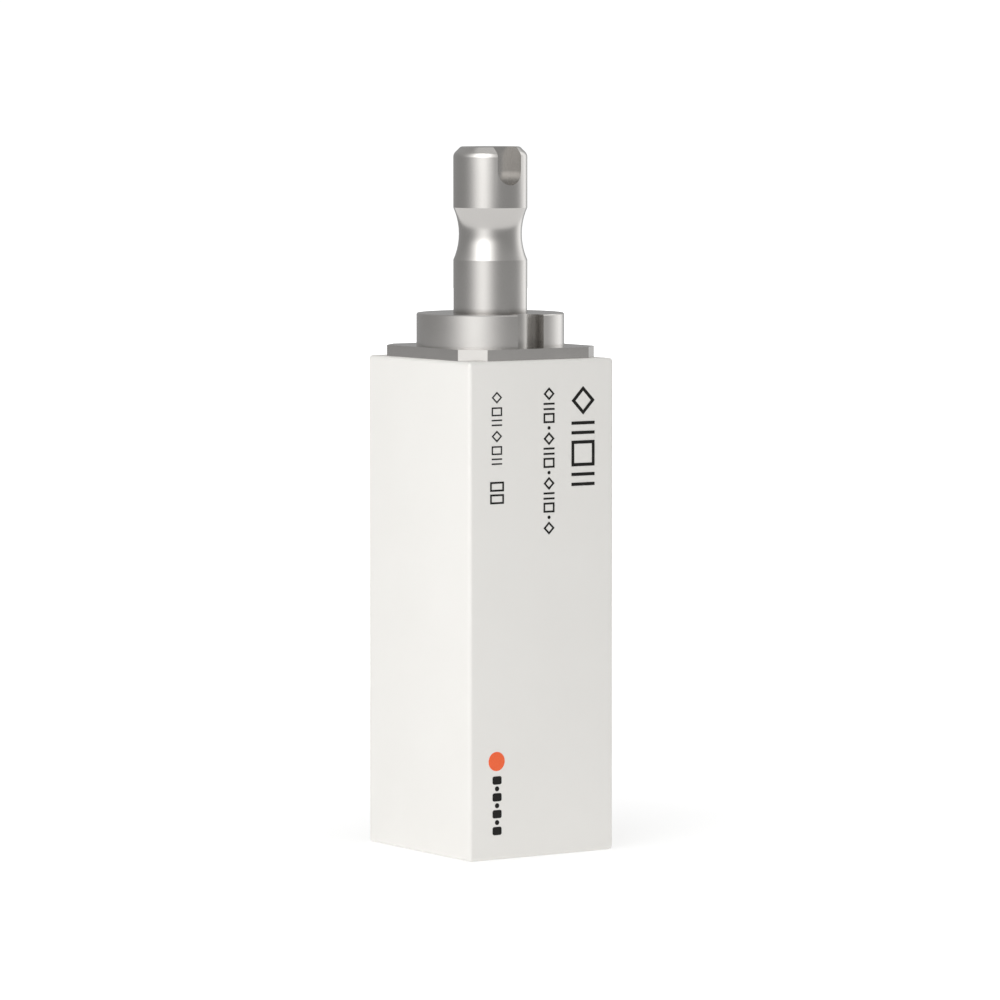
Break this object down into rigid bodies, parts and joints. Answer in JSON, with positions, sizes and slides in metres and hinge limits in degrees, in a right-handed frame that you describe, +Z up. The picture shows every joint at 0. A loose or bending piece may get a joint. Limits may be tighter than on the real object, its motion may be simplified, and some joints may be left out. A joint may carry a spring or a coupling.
{
  "type": "zirconia milling block",
  "caption": "Upright white zirconia prism with rounded edges, glued to a turned metal mandrel with a notched flange, waisted shank and slotted head.",
  "frame": {"origin": "centre of the block's bottom face, on which the object stands", "axes": "+Z up the block and out along the mandrel's shank; -Y out of the printed face, the flange's notch and the head's slot; +X to the right of that face"},
  "size_m": [0.014, 0.015, 0.057],
  "materials": {
    "zirconia": "matt, chalky, pre-sintered",
    "mandrel_metal": "fine turned, satin",
    "print_black": "printed ink",
    "print_orange": "printed ink"
  },
  "bodies": {
    "root": {"zirconia_block": "zirconia", "mandrel": "mandrel_metal"}
  },
  "joints": []
}
